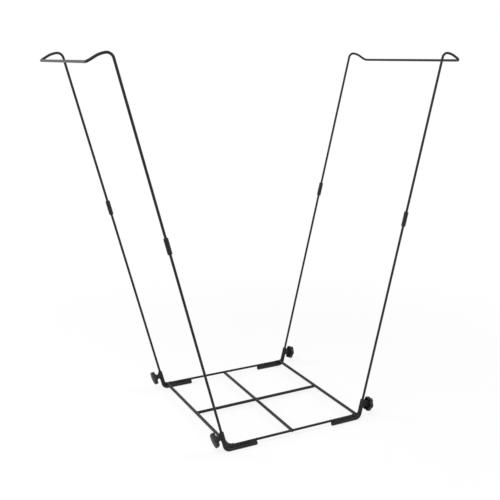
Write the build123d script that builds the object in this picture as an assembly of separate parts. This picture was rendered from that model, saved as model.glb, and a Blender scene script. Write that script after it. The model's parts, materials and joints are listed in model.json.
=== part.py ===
from build123d import *
from math import cos, radians, sin, tan
import os

# Bin bag holder: a free-standing wire stand. A welded base lies on four bent tubes, and two wire
# frames that lean outwards stand in them, each pinched by two clamp knobs.
# Millimetres. +Z is up, X runs from the left frame to the right one, Y from front to back.
# The origin is on the floor, below the middle of the base.

# Base: side rods at its left and right, and end wires at its front and back, between their axes
BASE_LENGTH = 320.0
BASE_DEPTH = 380.0
SIDE_ROD = 7.0
END_WIRE = 5.5
WELD_SET = 0.2

# Crossing rods: one from front to back and one from side to side, both welded slightly askew
CROSS_ROD = 7.0
CROSS_DROP = 2.5
LONG_ROD_FRONT_X = -6.0
LONG_ROD_BACK_X = -1.6
WIDE_ROD_LEFT_Y = -3.0
WIDE_ROD_RIGHT_Y = 2.0

# Corner tubes
TUBE_OUTER = 10.0
TUBE_BEND = 11.0
TUBE_FOOT = 72.0
TUBE_SOCKET = 44.0
TOE_CHAMFER = 0.6
SOCKET_CHAMFER = 1.2
RUNNING_GAP = 0.1
STOP_GAP = 0.3

# Leaning frames, whose legs are measured up their own axes from the knees of the tubes
LEAN = 14.0
LEG_WIRE = 5.5
KNEE_STANDOFF = 6.5
LOWER_LEG_FRONT = 459.6
LOWER_LEG_BACK = 473.5
LEG_TO_HUMP = 832.2
SLEEVE_LENGTH = 33.5
SLEEVE_OUTER = 9.8
SLEEVE_CHAMFER = 0.7
WIRE_END_GAP = 0.4

# Humps and bar of each loop
HUMP_BEND = 13.0
CROWN_SLOPE = 8.0
CROWN_BEND = 50.0
CROWN_FLAT = 0.5
RUNOUT_SLOPE = 31.0
RUNOUT_FLAT = 8.0
BAR_BEND = 10.0

# Clamp: nut, stud and knob, measured outwards from the axis of the leg
CLAMP_HEIGHT = 33.2
STUD_THREAD = 6.0
STUD_GAP = 0.05
STUD_HOLE_GAP = 0.1
STUD_LENGTH = 17.5
STUD_CHAMFER = 0.5
NUT_ACROSS_FLATS = 10.0
NUT_THICKNESS = 5.0
NUT_CHAMFER = 0.4
KNOB_STANDOFF = 0.8
HUB_LENGTH = 3.6
HUB_DIAMETER = 16.5
HUB_TAPER = 1.5
KNOB_DIAMETER = 33.0
KNOB_LOBES = 6
FLUTE_RADIUS = 9.0
FLUTE_DEPTH = 2.4
LOBE_ROUND = 2.8
RIM_HEIGHT = 7.0
DOME_HEIGHT = 2.2
KNOB_WALL = 2.2
RECESS_DEPTH = 5.8

# How far each knob happens to stand turned about its own screw, in degrees
KNOB_TURNS = {"front_left": -12.0, "front_right": 30.0, "back_left": -10.0, "back_right": -20.0}

# Worked out from the sizes above
half_length = BASE_LENGTH / 2
half_depth = BASE_DEPTH / 2
tube_z = TUBE_OUTER / 2
side_rod_z = TUBE_OUTER + SIDE_ROD / 2 - WELD_SET
end_wire_z = TUBE_OUTER + END_WIRE / 2 - WELD_SET
cross_z = side_rod_z - CROSS_DROP
knee_x = half_length + KNEE_STANDOFF
bore_radius = LEG_WIRE / 2 + RUNNING_GAP
leg_dir = Vector(sin(radians(LEAN)), 0, cos(radians(LEAN)))
clamp_dir = Vector(cos(radians(LEAN)), 0, -sin(radians(LEAN)))
leg_start = TUBE_BEND * tan(radians(90 - LEAN) / 2) + STOP_GAP
stud_tip = LEG_WIRE / 2 + STUD_GAP
nut_face = TUBE_OUTER / 2 + NUT_THICKNESS
hub_face = nut_face + KNOB_STANDOFF
rim_face = hub_face + HUB_LENGTH
weld_reach = END_WIRE / 3

ENDS = {"front": -half_depth, "back": half_depth}
SIDES = {"left": -1, "right": 1}
UPRIGHT = (Align.CENTER, Align.CENTER, Align.MIN)


def leg_point(distance, y=0.0):
    """A point on the axis of a right-hand leg, measured along it from the knee of its tube."""
    return Vector(knee_x, y, tube_z) + leg_dir * distance


def along_leg(distance):
    """A plane square to the right-hand leg, with its normal up the leg."""
    return Plane(origin=leg_point(distance), x_dir=(0, 1, 0), z_dir=leg_dir)


def along_clamp(distance):
    """A plane square to the right-hand clamp screw, this far out from the axis of the leg."""
    origin = leg_point(CLAMP_HEIGHT) + clamp_dir * distance
    return Plane(origin=origin, x_dir=(0, 1, 0), z_dir=clamp_dir)


def rod(start, end, diameter):
    """A straight round rod between two points."""
    start, end = Vector(start), Vector(end)
    plane = Plane(origin=start, z_dir=end - start)
    return extrude(plane * Circle(diameter / 2), (end - start).length)


def bent(path, section):
    """A section swept along a bent path, from the path's start."""
    plane = Plane(origin=path @ 0, z_dir=path % 0)
    return sweep(plane * section, path=path)


def tube_path():
    knee = leg_point(0)
    toe = knee - Vector(TUBE_FOOT, 0, 0)
    return FilletPolyline(toe, knee, leg_point(TUBE_SOCKET), radius=TUBE_BEND)


def tube_body():
    """The tube with its bore filled: the shape that what is welded to it is coped to."""
    body = bent(tube_path(), Circle(TUBE_OUTER / 2))
    toe_rim = body.edges().filter_by(GeomType.CIRCLE).sort_by(Axis.X)[0]
    body = chamfer(toe_rim, TOE_CHAMFER)
    socket_rim = body.edges().filter_by(GeomType.CIRCLE).sort_by(Axis.Z)[-1]
    return chamfer(socket_rim, SOCKET_CHAMFER)


def corner_tube():
    bore = bent(tube_path(), Circle(bore_radius))
    screw_way = extrude(along_clamp(0) * Circle(STUD_THREAD / 2 + STUD_HOLE_GAP), TUBE_OUTER)
    return tube_body() - bore - screw_way


def end_wire():
    """A wire that lies on two tubes and runs into their elbows, in the middle plane."""
    blank = rod((-knee_x, 0, end_wire_z), (knee_x, 0, end_wire_z), END_WIRE)
    return blank - tube_body() - mirror(tube_body(), about=Plane.YZ)


def side_rod(end_wires):
    """The right-hand rod, its ends coped over the end wires and against the elbows."""
    reach = half_depth - weld_reach
    blank = rod((half_length, -reach, side_rod_z), (half_length, reach, side_rod_z), SIDE_ROD)
    for end, wire in end_wires.items():
        blank = blank - wire - placed(tube_body(), "right", end)
    return blank


def cross_rods(end_wires, side_rods):
    """The long rod and the two short ones that meet it, each coped to what it is welded to."""
    front_end = Vector(LONG_ROD_FRONT_X, weld_reach - half_depth, cross_z)
    back_end = Vector(LONG_ROD_BACK_X, half_depth - weld_reach, cross_z)
    long_rod = rod(front_end, back_end, CROSS_ROD) - end_wires["front"] - end_wires["back"]
    middle_x = (LONG_ROD_FRONT_X + LONG_ROD_BACK_X) / 2
    middle_y = (WIDE_ROD_LEFT_Y + WIDE_ROD_RIGHT_Y) / 2
    crossed = {"cross_rod_long": long_rod}
    for side, outer_y in (("left", WIDE_ROD_LEFT_Y), ("right", WIDE_ROD_RIGHT_Y)):
        inner = (middle_x + SIDES[side] * weld_reach, middle_y, cross_z)
        outer = (SIDES[side] * (half_length - weld_reach), outer_y, cross_z)
        crossed[f"cross_rod_{side}"] = rod(inner, outer, CROSS_ROD) - side_rods[side] - long_rod
    return crossed


def weld_nut():
    """A hexagon nut whose inner end is coped to the tube that it is welded on."""
    hexagon = RegularPolygon(NUT_ACROSS_FLATS / 2, 6, major_radius=False)
    seat = along_clamp(TUBE_OUTER / 4)
    height = nut_face - TUBE_OUTER / 4
    corner = NUT_ACROSS_FLATS / 2 / cos(radians(30))
    turned = Cone(corner + height, corner - NUT_CHAMFER, height + NUT_CHAMFER, align=UPRIGHT)
    blank = extrude(seat * hexagon, height) & seat.location * turned
    thread = extrude(along_clamp(0) * Circle(STUD_THREAD / 2 + STUD_GAP), hub_face)
    return blank - tube_body() - thread


def stud():
    """The threaded rod of a knob, from just off the wire leg to the bottom of the knob's hole."""
    blank = extrude(along_clamp(stud_tip) * Circle(STUD_THREAD / 2), STUD_LENGTH)
    return chamfer(blank.edges().filter_by(GeomType.CIRCLE), STUD_CHAMFER)


def knob_outline(inset=0.0):
    """The lobed outline of the knob, or one inset from it by a wall."""
    flute_centre = KNOB_DIAMETER / 2 + FLUTE_RADIUS - FLUTE_DEPTH
    flutes = PolarLocations(flute_centre, KNOB_LOBES) * Circle(FLUTE_RADIUS + inset)
    outline = Circle(KNOB_DIAMETER / 2 - inset) - flutes
    return fillet(outline.vertices(), LOBE_ROUND)


def knob():
    """A star knob on its own axis: a lobed, domed rim, hollow round the hub that takes the stud."""
    radius = KNOB_DIAMETER / 2
    top = RIM_HEIGHT + DOME_HEIGHT
    dome_radius = (radius**2 + DOME_HEIGHT**2) / (2 * DOME_HEIGHT)
    rim = extrude(knob_outline(), top) & Pos(0, 0, top - dome_radius) * Sphere(dome_radius)
    recess = extrude(knob_outline(KNOB_WALL), RECESS_DEPTH)
    hub_radius = HUB_DIAMETER / 2
    hub = Cone(hub_radius - HUB_TAPER / 2, hub_radius, HUB_LENGTH + RECESS_DEPTH, align=UPRIGHT)
    hole_depth = stud_tip + STUD_LENGTH + STUD_GAP - hub_face
    hole = Cylinder(STUD_THREAD / 2 + STUD_GAP, hole_depth, align=UPRIGHT)
    to_hub = Pos(0, 0, -HUB_LENGTH)
    return rim - recess + to_hub * hub - to_hub * hole


def lower_leg(length):
    """The straight wire from the knee of a tube to the middle of a sleeve."""
    return rod(leg_point(leg_start), leg_point(leg_start + length), LEG_WIRE)


def sleeve(middle):
    """A short tube over the joint of two wires: crimped on the lower one, a running fit on the upper."""
    body = extrude(along_leg(middle - SLEEVE_LENGTH / 2) * Circle(SLEEVE_OUTER / 2), SLEEVE_LENGTH)
    body = chamfer(body.edges().filter_by(GeomType.CIRCLE), SLEEVE_CHAMFER)
    grip = extrude(along_leg(middle - SLEEVE_LENGTH) * Circle(LEG_WIRE / 2), SLEEVE_LENGTH)
    slip = extrude(along_leg(middle) * Circle(bore_radius), SLEEVE_LENGTH)
    return body - grip - slip


def loop(joints):
    """One wire: up a leg, over a hump, along the bar and back down, between the two sleeves."""
    hump_run = HUMP_BEND * tan(radians(90 - LEAN + CROWN_SLOPE) / 2)
    crown_run = CROWN_BEND * tan(radians(RUNOUT_SLOPE - CROWN_SLOPE) / 2)
    crown = Vector(cos(radians(CROWN_SLOPE)), 0, -sin(radians(CROWN_SLOPE)))
    runout = Vector(cos(radians(RUNOUT_SLOPE)), 0, -sin(radians(RUNOUT_SLOPE)))
    ways = []
    for end, y in ENDS.items():
        start = leg_point(joints[end] + WIRE_END_GAP, y)
        shoulder = leg_point(LEG_TO_HUMP + hump_run, y)
        brow = shoulder + crown * (hump_run + CROWN_FLAT + crown_run)
        corner = brow + runout * (crown_run + RUNOUT_FLAT + BAR_BEND)
        ways.append([start, shoulder, brow, corner])
    points = ways[0] + ways[1][::-1]
    bends = [HUMP_BEND, CROWN_BEND, BAR_BEND]
    path = FilletPolyline(*points, radius=bends + bends[::-1])
    return bent(path, Circle(LEG_WIRE / 2))


def placed(shape, side, end):
    """A right-hand shape from the middle plane, moved to the front and mirrored to its own corner."""
    moved = Pos(0, -half_depth, 0) * shape
    if end == "back":
        moved = mirror(moved, about=Plane.XZ)
    return moved if side == "right" else mirror(moved, about=Plane.YZ)


end_wires = {end: Pos(0, y, 0) * end_wire() for end, y in ENDS.items()}
side_rods = {"right": side_rod(end_wires)}
side_rods["left"] = mirror(side_rods["right"], about=Plane.YZ)
nodes = {f"end_wire_{end}": wire for end, wire in end_wires.items()}
nodes.update({f"side_rod_{side}": shape for side, shape in side_rods.items()})
nodes.update(cross_rods(end_wires, side_rods))

joints = {"front": leg_start + LOWER_LEG_FRONT, "back": leg_start + LOWER_LEG_BACK}
corner_shapes = {"tube": corner_tube(), "nut": weld_nut(), "stud": stud()}
star_knob = knob()
for end in ENDS:
    shapes = dict(corner_shapes)
    shapes["leg"] = lower_leg(joints[end] - leg_start)
    shapes["sleeve"] = sleeve(joints[end])
    for side in SIDES:
        turned = Rot(0, 0, KNOB_TURNS[f"{end}_{side}"]) * star_knob
        shapes["knob"] = along_clamp(rim_face).location * turned
        for name, shape in shapes.items():
            nodes[f"{end}_{side}_{name}"] = placed(shape, side, end)

nodes["right_loop"] = loop(joints)
nodes["left_loop"] = mirror(nodes["right_loop"], about=Plane.YZ)

os.makedirs("parts", exist_ok=True)
for name, shape in nodes.items():
    export_step(shape, f"parts/{name}.step")
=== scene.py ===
import json
import random
from functools import cache
from math import atan2, cos, pi, radians, sin, sqrt, tau

import bmesh
import bpy
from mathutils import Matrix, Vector
from mathutils.bvhtree import BVHTree


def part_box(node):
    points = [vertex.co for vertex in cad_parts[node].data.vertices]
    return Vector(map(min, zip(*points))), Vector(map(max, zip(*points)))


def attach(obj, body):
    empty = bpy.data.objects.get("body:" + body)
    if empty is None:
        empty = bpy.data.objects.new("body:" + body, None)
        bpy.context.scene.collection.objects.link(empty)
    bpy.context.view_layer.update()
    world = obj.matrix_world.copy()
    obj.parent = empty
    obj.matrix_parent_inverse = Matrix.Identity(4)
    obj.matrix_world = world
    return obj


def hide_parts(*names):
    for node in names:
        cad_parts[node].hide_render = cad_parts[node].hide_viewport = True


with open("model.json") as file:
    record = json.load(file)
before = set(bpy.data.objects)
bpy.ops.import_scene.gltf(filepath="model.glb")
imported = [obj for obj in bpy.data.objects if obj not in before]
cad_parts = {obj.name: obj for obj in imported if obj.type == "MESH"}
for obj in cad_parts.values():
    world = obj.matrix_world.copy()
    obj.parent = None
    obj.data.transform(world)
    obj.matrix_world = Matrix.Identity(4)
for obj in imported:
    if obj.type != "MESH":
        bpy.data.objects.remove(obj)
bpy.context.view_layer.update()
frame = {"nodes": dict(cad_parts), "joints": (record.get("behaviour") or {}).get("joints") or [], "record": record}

# Bin bag holder: the looks of a black powder-coated wire stand. Metres, +Z up, as in the frame.

# Camera, as worked out from the photo's straight wires
CAMERA_PLACE = (-0.790, -1.6224, 0.8155)
CAMERA_AZIMUTH = radians(-28.48)
CAMERA_ELEVATION = radians(13.08)
CAMERA_LENS = 57.9
CAMERA_SHIFT = (-0.0802, -0.014)
CAMERA_CLIP = (0.05, 50)
SENSOR = 36.0

# Radii of the weld beads
FOOT_BEAD = 0.0016
ELBOW_BEAD = 0.0021
CORNER_BEAD = 0.0019
SIDE_BEAD = 0.0014
ROD_BEAD = 0.0011
NUT_BEAD = 0.0015

# Form of a bead: how finely it is drawn, how uneven it is, how thin it ends, and its crescents
BEAD_SIDES = 12
BEAD_STEP = 0.00033
FEWEST_STEPS = 8
BEAD_ROUGHNESS = 0.02
BEAD_TIP = 0.25
RIPPLE_PITCH = 0.0013
RIPPLE_DEPTH = 0.10

# How deep the beads sit in the bars, or stand off a nut, as shares of their radii
BEAD_SINK = 0.5
SIDE_SINK = 0.8
NUT_STANDOFF = 1 / 3

# Beads along a tube's foot
FOOT_BEAD_LENGTH = 0.016
FOOT_BEAD_INSET = 0.003

# Bead that runs from a side rod round the corner to the end wire. It turns at a share of the rod's
# radius, and ends a share of the wire's radius off the wire's middle.
CORNER_ON_ROD = 0.0040
CORNER_ON_WIRE = 0.0085
CORNER_SINK = 0.0006
CORNER_TURN = 0.5
CORNER_ASIDE = 1 / 3
CORNER_RUNS = 8

# Angles, in degrees, over the top of a bar that a weld follows, and round the end of a nut.
# The lead is how many radii before a joint the search for its seam begins.
TOP_ROUND = range(0, 181, 10)
NUT_ROUND = range(-40, 41, 8)
LEAD = 3

# Screw thread of the clamp studs, its crest and flank as shares of the pitch
THREAD_PITCH = 0.001
THREAD_DEPTH = 0.00058
THREAD_CREST = 0.125
THREAD_FLANK = 0.375
THREAD_SIDES = 30
THREAD_STEPS = 6
THREAD_CHAMFER = 0.0006

# Ribs inside the hollow knobs. Reach, depth and bite are shares of the knob's radius, of its height
# and of its hub's radius. The rim is what lies beyond the band's share of the knob's radius.
RIB_COUNT = 6
RIB_THICKNESS = 0.0014
RIB_SETBACK = 0.0016
RIB_REACH = 0.78
RIB_DEPTH = 0.70
RIB_ROUND = 0.0003
RIB_ROUND_STEPS = 2
HUB_BITE = 0.9
RIM_BAND = 0.97

# Noise in the finishes, and the parts of its range over which tones and roughness mix
NOISE_DETAIL = 3
TONE_SPAN = (0.35, 0.65)
ROUGH_SPAN = (0.3, 0.7)

# Studio: the level of the light all round, and the paper on the floor, which glows more further off
ROOM_LEVEL = 0.45
FLOOR_SIZE = 12.0
FLOOR_DROP = 0.0002
PAPER = 0.90
GLOW_NEAR = 0.80
GLOW_FAR = 1.0
PAPER_NEAR = 0.55
PAPER_FAR = 1.20

# Softboxes: where each stands, what it looks at, its width and height, and its power in watts
SOFTBOXES = {
    "key": ((-1.6, -1.4, 2.6), (0, 0, 0.4), (1.6, 1.6), 54),
    "fill": ((2.2, -1.0, 1.8), (0, 0, 0.4), (1.6, 1.6), 24),
    "left_edge": ((-1.5, 0.9, 1.0), (-0.3, 0, 0.6), (0.8, 1.2), 14),
}

SIDES = {"left": -1, "right": 1}
ENDS = {"front": -1, "back": 1}
CORNERS = [(end, side) for end in ENDS for side in SIDES]


def middle(low, high):
    return (low + high) / 2


def points_of(node):
    return [vertex.co for vertex in frame["nodes"][node].data.vertices]


# Sizes read from the frame
side_low, side_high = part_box("side_rod_right")
side_axis = middle(side_low, side_high)
side_radius = (side_high.z - side_low.z) / 2
wire_low, wire_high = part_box("end_wire_back")
wire_axis = middle(wire_low, wire_high)
wire_radius = (wire_high.z - wire_low.z) / 2
tube_low, tube_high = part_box("back_right_tube")
tube_radius = (tube_high.y - tube_low.y) / 2
rod_low, rod_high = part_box("cross_rod_long")
rod_radius = (rod_high.z - rod_low.z) / 2
rod_axis = middle(rod_low, rod_high)
joints = {joint["name"]: joint for joint in frame["joints"]}


class Shading:
    """A short way to write the node tree of a material or the world."""

    def __init__(self, owner):
        owner.use_nodes = True
        self.tree = owner.node_tree

    def put(self, target, value):
        """Links an output to a socket, or sets the socket to a number or colour."""
        if isinstance(value, bpy.types.NodeSocket):
            self.tree.links.new(value, target)
        else:
            target.default_value = value

    def node(self, kind, inputs, operation=None):
        made = self.tree.nodes.new("ShaderNode" + kind)
        if operation is not None:
            made.operation = operation
        for name, value in inputs.items():
            self.put(made.inputs[name], value)
        return made

    def object_place(self):
        return self.node("TexCoord", {}).outputs["Object"]

    def noise(self, scale):
        inputs = {"Vector": self.object_place(), "Scale": scale, "Detail": NOISE_DETAIL}
        return self.node("TexNoise", inputs).outputs["Fac"]

    def ranged(self, value, span, low, high):
        """A value whose span is stretched from low to high."""
        start, stop = span
        inputs = {
            "Value": value, "From Min": start, "From Max": stop, "To Min": low, "To Max": high,
        }
        return self.node("MapRange", inputs).outputs["Result"]

    def ramp(self, value, span, low, high):
        """A colour that goes from low to high over a span of the value."""
        made = self.node("ValToRGB", {"Fac": value})
        for element, position, tone in zip(made.color_ramp.elements, span, (low, high)):
            element.position = position
            element.color = (*tone, 1)
        return made.outputs["Color"]

    def bumped(self, height, depth, under):
        inputs = {"Height": height, "Distance": depth, "Strength": 1}
        if under is not None:
            inputs["Normal"] = under
        return self.node("Bump", inputs).outputs["Normal"]

    def math(self, operation, first, second):
        return self.node("Math", {0: first, 1: second}, operation).outputs["Value"]

    def background_rays(self):
        """1 for the rays that look at the background: straight, mirrored or through something."""
        path = self.node("LightPath", {}).outputs
        indirect = self.math("MAXIMUM", path["Is Glossy Ray"], path["Is Transmission Ray"])
        return self.math("MAXIMUM", path["Is Camera Ray"], indirect)


def finish(name, tones, roughness, grains, specular, metallic=0.0):
    """A material between two tones and two roughnesses, with grains from coarse to fine.

    The tones and the roughnesses come after the scale of the noise that mixes them, and each grain
    is a scale and a depth.
    """
    material = bpy.data.materials.new(name)
    shading = Shading(material)
    shader = shading.tree.nodes["Principled BSDF"].inputs
    scale, dark, light = tones
    shading.put(shader["Base Color"], shading.ramp(shading.noise(scale), TONE_SPAN, dark, light))
    scale, smooth, rough = roughness
    dullness = shading.ranged(shading.noise(scale), ROUGH_SPAN, smooth, rough)
    shading.put(shader["Roughness"], dullness)
    normal = None
    for scale, depth in grains:
        normal = shading.bumped(shading.noise(scale), depth, normal)
    shading.put(shader["Normal"], normal)
    shader["Specular IOR Level"].default_value = specular
    shader["Metallic"].default_value = metallic
    return material


def paint_nodes():
    """Gives each carried-over node the finish of its material slot."""
    for part in frame["record"]["subparts"]:
        node = frame["nodes"][part["node"]]
        node.data.materials.clear()
        node.data.materials.append(materials[part["material_slot"]])


def piece(name, bm, slot, body):
    """Turns a bmesh into a smooth piece that rides on a body."""
    mesh = bpy.data.meshes.new(name)
    bmesh.ops.recalc_face_normals(bm, faces=bm.faces)
    bm.to_mesh(mesh)
    bm.free()
    for polygon in mesh.polygons:
        polygon.use_smooth = True
    mesh.materials.append(materials[slot])
    made = bpy.data.objects.new(name, mesh)
    bpy.context.scene.collection.objects.link(made)
    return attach(made, body)


def add_rings(bm, rings):
    """Skins a closed tube through rings of points, and closes both its ends."""
    loops = [[bm.verts.new(point) for point in ring] for ring in rings]
    for lower, upper in zip(loops, loops[1:]):
        for i in range(len(lower)):
            j = (i + 1) % len(lower)
            bm.faces.new((lower[i], lower[j], upper[j], upper[i]))
    bm.faces.new(loops[0][::-1])
    bm.faces.new(loops[-1])


def evenly_spaced(path, step):
    """Points along a path of short straight runs, a step apart."""
    lengths = [(b - a).length for a, b in zip(path, path[1:])]
    count = max(FEWEST_STEPS, round(sum(lengths) / step))
    points = []
    for i in range(count + 1):
        rest = sum(lengths) * i / count
        run = 0
        while run < len(lengths) - 1 and rest > lengths[run]:
            rest -= lengths[run]
            run += 1
        points.append(path[run].lerp(path[run + 1], rest / lengths[run]))
    return points


def curved(start, turn, stop):
    """Points along a curve that leaves one place for the turn, and comes from it to the other."""
    shares = [i / CORNER_RUNS for i in range(CORNER_RUNS + 1)]
    return [start.lerp(turn, share).lerp(turn.lerp(stop, share), share) for share in shares]


def add_bead(bm, path, radius, chance):
    """A run of weld: a round bead with crescent ripples, and ends that round off."""
    points = evenly_spaced(path, BEAD_STEP)
    length = sum((b - a).length for a, b in zip(points, points[1:]))
    across = (points[1] - points[0]).orthogonal()
    rings = []
    for i, point in enumerate(points):
        along = length * i / (len(points) - 1)
        ahead = (points[min(i + 1, len(points) - 1)] - points[max(i - 1, 0)]).normalized()
        across = (across - ahead * across.dot(ahead)).normalized()
        upright = ahead.cross(across)
        from_end = max(min(along, length - along), 0)
        rounding = sqrt(1 - max(1 - from_end / radius, 0) ** 2)
        phase = (along / RIPPLE_PITCH) % 1
        swell = 1 - RIPPLE_DEPTH * phase + chance.uniform(-BEAD_ROUGHNESS, BEAD_ROUGHNESS)
        size = radius * max(rounding, BEAD_TIP) * swell
        angles = [tau * k / BEAD_SIDES for k in range(BEAD_SIDES)]
        spokes = [across * cos(angle) + upright * sin(angle) for angle in angles]
        rings.append([point + spoke * size for spoke in spokes])
    add_rings(bm, rings)


def nook(upper_z, upper_radius, lower_z, lower_radius, bead):
    """Where a bead's centre lies beside a round bar on top of another: aside, and up."""
    upper_reach = upper_radius + bead * BEAD_SINK
    lower_reach = lower_radius + bead * BEAD_SINK
    apart = upper_z - lower_z
    rise = (lower_reach**2 - upper_reach**2 + apart**2) / (2 * apart)
    return sqrt(lower_reach**2 - rise**2), lower_z + rise


@cache
def surface(node):
    """A node's faces, for finding where a line meets them."""
    faces = [list(face.vertices) for face in frame["nodes"][node].data.polygons]
    return BVHTree.FromPolygons(points_of(node), faces)


def seam(node, start, along, across, radius, furthest):
    """The line over the top of a round bar where its surface, followed along, first meets a node."""
    up = Vector((0, 0, 1))
    path = []
    for degrees in TOP_ROUND:
        edge = start + (across * cos(radians(degrees)) + up * sin(radians(degrees))) * radius
        hit = surface(node).ray_cast(edge, along, furthest)[0]
        path.append(hit if hit is not None else edge + along * furthest)
    return path


def add_foot_beads(bm, sx, end_y, chance):
    """Two beads on each side of the seam between a tube's foot and the end wire on it."""
    aside, seam_z = nook(wire_axis.z, wire_radius, tube_radius, tube_radius, FOOT_BEAD)
    inner = tube_low.x + FOOT_BEAD_INSET
    outer = side_low.x - FOOT_BEAD_INSET - FOOT_BEAD_LENGTH
    for start in (inner, outer):
        for face in (-1, 1):
            y = end_y + face * aside
            tips = [Vector((sx * x, y, seam_z)) for x in (start, start + FOOT_BEAD_LENGTH)]
            add_bead(bm, tips, FOOT_BEAD, chance)


def add_corner_beads(bm, end, side, chance):
    """Beads round the end wire at the elbow, over the side rod at the wire, and in their corner."""
    sx, sy = SIDES[side], ENDS[end]
    end_y = sy * wire_axis.y
    out, away = Vector((sx, 0, 0)), Vector((0, sy, 0))
    start = Vector((sx * side_axis.x, end_y, wire_axis.z))
    round_wire = seam(f"{end}_{side}_tube", start, out, away, wire_radius, 2 * side_radius)
    add_bead(bm, round_wire, ELBOW_BEAD, chance)
    start = Vector((sx * side_axis.x, end_y - sy * LEAD * wire_radius, side_axis.z))
    to_end = abs(sy * side_high.y - start.y)
    within = side_radius - SIDE_BEAD * SIDE_SINK
    over_wire = seam(f"end_wire_{end}", start, away, out, within, to_end)
    add_bead(bm, over_wire, SIDE_BEAD, chance)
    seat = wire_high.z - CORNER_SINK
    places = (
        (side_low.x + CORNER_SINK, wire_radius + CORNER_ON_ROD),
        (side_low.x + side_radius * CORNER_TURN, 0),
        (side_low.x - CORNER_ON_WIRE, wire_radius * CORNER_ASIDE),
    )
    round_corner = [Vector((sx * x, end_y - sy * inward, seat)) for x, inward in places]
    add_bead(bm, curved(*round_corner), CORNER_BEAD, chance)


def foot_welds(end, side):
    """The beads along a tube's foot and at its corner of the base."""
    chance = random.Random(f"{end} {side} foot")
    bm = bmesh.new()
    add_foot_beads(bm, SIDES[side], ENDS[end] * wire_axis.y, chance)
    add_corner_beads(bm, end, side, chance)
    return bm


def clamp_axes(end, side):
    """Where a clamp screw crosses its leg's axis, and the screw's and the leg's directions."""
    turn = joints[f"{end}_{side}_knob_turn"]
    lift = joints[f"{side}_frame_lift"]
    return Vector(turn["pos_m"]), Vector(turn["axis"]), Vector(lift["axis"])


def nut_welds(end, side):
    """A short bead over and under each nut, on the round of its tube."""
    chance = random.Random(f"{end} {side} nut")
    origin, outward, up = clamp_axes(end, side)
    nut_low, nut_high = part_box(f"{end}_{side}_nut")
    ring_of_weld = (nut_high.y - nut_low.y) / 2 + NUT_BEAD * NUT_STANDOFF
    bm = bmesh.new()
    for over in (-1, 1):
        path = []
        for degrees in NUT_ROUND:
            aside = ring_of_weld * sin(radians(degrees))
            along = over * ring_of_weld * cos(radians(degrees))
            rise = sqrt(tube_radius**2 - aside**2)
            path.append(origin + up * along + Vector((0, aside, 0)) + outward * rise)
        add_bead(bm, path, NUT_BEAD, chance)
    return bm


def rod_welds():
    """Beads where the crossing rods meet the base and each other."""
    chance = random.Random("rods")
    bm = bmesh.new()
    back, right = Vector((0, 1, 0)), Vector((1, 0, 0))
    for end, sy in ENDS.items():
        tip = [p.x for p in points_of("cross_rod_long") if sy * p.y > 0]
        lead = LEAD * wire_radius
        start = Vector((middle(min(tip), max(tip)), sy * (wire_axis.y - lead), rod_axis.z))
        path = seam(f"end_wire_{end}", start, back * sy, right, rod_radius, lead)
        add_bead(bm, path, ROD_BEAD, chance)
    for side, sx in SIDES.items():
        rod = points_of(f"cross_rod_{side}")
        outer = [p.y for p in rod if sx * p.x > side_axis.x / 2]
        inner = [p.y for p in rod if sx * p.x < side_axis.x / 2]
        outer_y, inner_y = middle(min(outer), max(outer)), middle(min(inner), max(inner))
        along = (right * sx * side_axis.x + back * (outer_y - inner_y)).normalized()
        lead = LEAD * side_radius
        start = Vector((sx * (side_axis.x - lead), outer_y, rod_axis.z))
        path = seam(f"side_rod_{side}", start, along, back, rod_radius, lead)
        add_bead(bm, path, ROD_BEAD, chance)
        lead = LEAD * rod_radius
        start = Vector((rod_axis.x + sx * lead, inner_y, rod_axis.z))
        path = seam("cross_rod_long", start, -along, back, rod_radius, lead)
        add_bead(bm, path, ROD_BEAD, chance)
    return bm


def round_axis(node, origin, outward):
    """A node's points from an origin, each with how far it lies along an axis and off it."""
    points = [point - origin for point in points_of(node)]
    return [(p, p.dot(outward), (p - outward * p.dot(outward)).length) for p in points]


def screw_thread(end, side):
    """A stud with a real helical thread in place of the plain cylinder."""
    origin, outward, up = clamp_axes(end, side)
    aside = outward.cross(up).normalized()
    points = round_axis(f"{end}_{side}_stud", origin, outward)
    start = min(along for p, along, reach in points)
    stop = max(along for p, along, reach in points)
    radius = max(reach for p, along, reach in points)
    steps = round((stop - start) / THREAD_PITCH * THREAD_STEPS)
    rings = []
    for i in range(steps + 1):
        along = start + (stop - start) * i / steps
        from_end = min(along - start, stop - along)
        chamfer = radius - max(THREAD_CHAMFER - from_end, 0)
        ring = []
        for k in range(THREAD_SIDES):
            phase = (along / THREAD_PITCH - k / THREAD_SIDES) % 1
            off_crest = min(phase, 1 - phase)
            depth = THREAD_DEPTH * min(max((off_crest - THREAD_CREST / 2) / THREAD_FLANK, 0), 1)
            angle = tau * k / THREAD_SIDES
            spoke = up * cos(angle) + aside * sin(angle)
            ring.append(origin + outward * along + spoke * min(radius - depth, chamfer))
        rings.append(ring)
    bm = bmesh.new()
    add_rings(bm, rings)
    return bm


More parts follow.
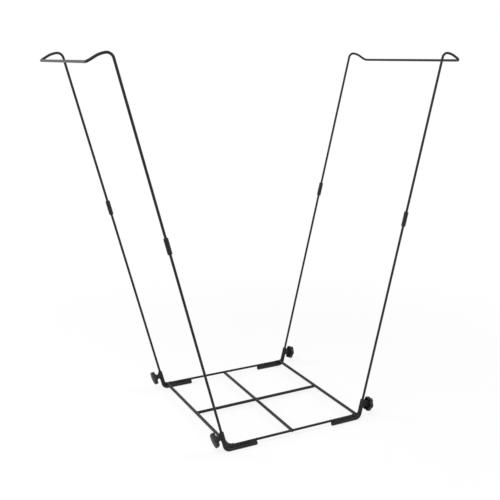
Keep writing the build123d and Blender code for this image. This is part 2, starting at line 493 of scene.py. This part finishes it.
def knob_ribs(end, side):
    """Thin moulded ribs from a knob's hub to its rim, between the lobes and set back from the mouth."""
    origin, outward, up = clamp_axes(end, side)
    aside = outward.cross(up).normalized()
    points = round_axis(f"{end}_{side}_knob", origin, outward)
    rim = max(reach for p, along, reach in points)
    on_rim = [(p, along) for p, along, reach in points if reach > rim * RIM_BAND]
    mouth = min(along for p, along in on_rim)
    crown = max(along for p, along, reach in points)
    hub = max(reach for p, along, reach in points if along < mouth - RIB_SETBACK)
    turns = [RIB_COUNT * atan2(p.dot(aside), p.dot(up)) for p, along in on_rim]
    lobe = atan2(sum(map(sin, turns)), sum(map(cos, turns))) / RIB_COUNT
    near, far = mouth + RIB_SETBACK, mouth + (crown - mouth) * RIB_DEPTH
    inner, outer = hub * HUB_BITE, rim * RIB_REACH
    outline = [(inner, near), (outer, near), (outer, far), (inner, far)]
    bm = bmesh.new()
    for i in range(RIB_COUNT):
        angle = lobe + tau * (i + 0.5) / RIB_COUNT
        ray = up * cos(angle) + aside * sin(angle)
        across = outward.cross(ray) * (RIB_THICKNESS / 2)
        section = [origin + ray * reach + outward * along for reach, along in outline]
        add_rings(bm, [[point + across * face for point in section] for face in (-1, 1)])
    bmesh.ops.bevel(
        bm, geom=bm.edges[:], offset=RIB_ROUND, segments=RIB_ROUND_STEPS, affect="EDGES")
    return bm


def world_light():
    """A soft even light from all round, which shows as white wherever it is looked at."""
    world = bpy.data.worlds.new("studio")
    bpy.context.scene.world = world
    shading = Shading(world)
    background = shading.tree.nodes["Background"].inputs
    background["Color"].default_value = (1, 1, 1, 1)
    level = shading.math("MAXIMUM", shading.background_rays(), ROOM_LEVEL)
    shading.put(background["Strength"], level)


def floor():
    """White paper with a faint shadow near the stand, which fades into the background further off."""
    bpy.ops.mesh.primitive_plane_add(size=FLOOR_SIZE, location=(0, 0, -FLOOR_DROP))
    ground = bpy.context.object
    ground.name = "floor"
    material = bpy.data.materials.new("floor")
    shading = Shading(material)
    shading.tree.nodes.clear()
    paper = shading.node("BsdfDiffuse", {"Color": (PAPER, PAPER, PAPER, 1)})
    glow = shading.node("Emission", {"Strength": 1.0})
    distance = shading.node("VectorMath", {0: shading.object_place()}, "LENGTH").outputs["Value"]
    share = shading.ranged(distance, (PAPER_NEAR, PAPER_FAR), GLOW_NEAR, GLOW_FAR)
    seen = shading.math("MULTIPLY", shading.background_rays(), share)
    inputs = {0: seen, 1: paper.outputs["BSDF"], 2: glow.outputs["Emission"]}
    mix = shading.node("MixShader", inputs)
    shading.node("OutputMaterial", {"Surface": mix.outputs["Shader"]})
    ground.data.materials.append(material)


def softbox(name, place, target, size, power):
    """A large soft lamp that looks at a point."""
    data = bpy.data.lights.new(name, "AREA")
    data.shape = "RECTANGLE"
    data.size, data.size_y = size
    data.energy = power
    lamp = bpy.data.objects.new(name, data)
    bpy.context.scene.collection.objects.link(lamp)
    lamp.location = place
    lamp.rotation_mode = "QUATERNION"
    lamp.rotation_quaternion = (Vector(target) - Vector(place)).to_track_quat("-Z", "Y")


def camera():
    data = bpy.data.cameras.new("camera")
    data.sensor_width = SENSOR
    data.lens = CAMERA_LENS
    data.shift_x, data.shift_y = CAMERA_SHIFT
    data.clip_start, data.clip_end = CAMERA_CLIP
    made = bpy.data.objects.new("camera", data)
    bpy.context.scene.collection.objects.link(made)
    made.location = CAMERA_PLACE
    made.rotation_euler = (pi / 2 - CAMERA_ELEVATION, 0, CAMERA_AZIMUTH)
    bpy.context.scene.camera = made


materials = {
    # An orange-peel skin over a finer grain
    "powder_coat": finish(
        "powder_coat", tones=(160, (0.009, 0.009, 0.010), (0.013, 0.013, 0.014)),
        roughness=(420, 0.38, 0.46), grains=[(620, 0.00003), (2600, 0.000012)], specular=0.22),
    # Moulded, with a fine spark-eroded grain
    "knob_plastic": finish(
        "knob_plastic", tones=(240, (0.010, 0.010, 0.011), (0.014, 0.014, 0.015)),
        roughness=(900, 0.42, 0.58), grains=[(3800, 0.00003)], specular=0.25),
    # Zinc plating, a little cloudy
    "stud_steel": finish(
        "stud_steel", tones=(700, (0.42, 0.42, 0.41), (0.60, 0.60, 0.58)),
        roughness=(1500, 0.28, 0.44), grains=[(5000, 0.00001)], specular=0.5, metallic=0.95),
}
paint_nodes()

for end, side in CORNERS:
    corner = f"{end}_{side}"
    piece(f"{corner}_foot_weld", foot_welds(end, side), "powder_coat", "base")
    piece(f"{corner}_nut_weld", nut_welds(end, side), "powder_coat", "base")
    thread = piece(
        f"{corner}_screw_thread", screw_thread(end, side), "stud_steel", f"{corner}_stud")
    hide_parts(f"{corner}_stud")
    piece(f"{corner}_knob_ribs", knob_ribs(end, side), "knob_plastic", f"{corner}_knob")
piece("rod_welds", rod_welds(), "powder_coat", "base")

world_light()
floor()
for name, setting in SOFTBOXES.items():
    softbox(name, *setting)
camera()
bpy.context.scene.view_settings.view_transform = "Standard"
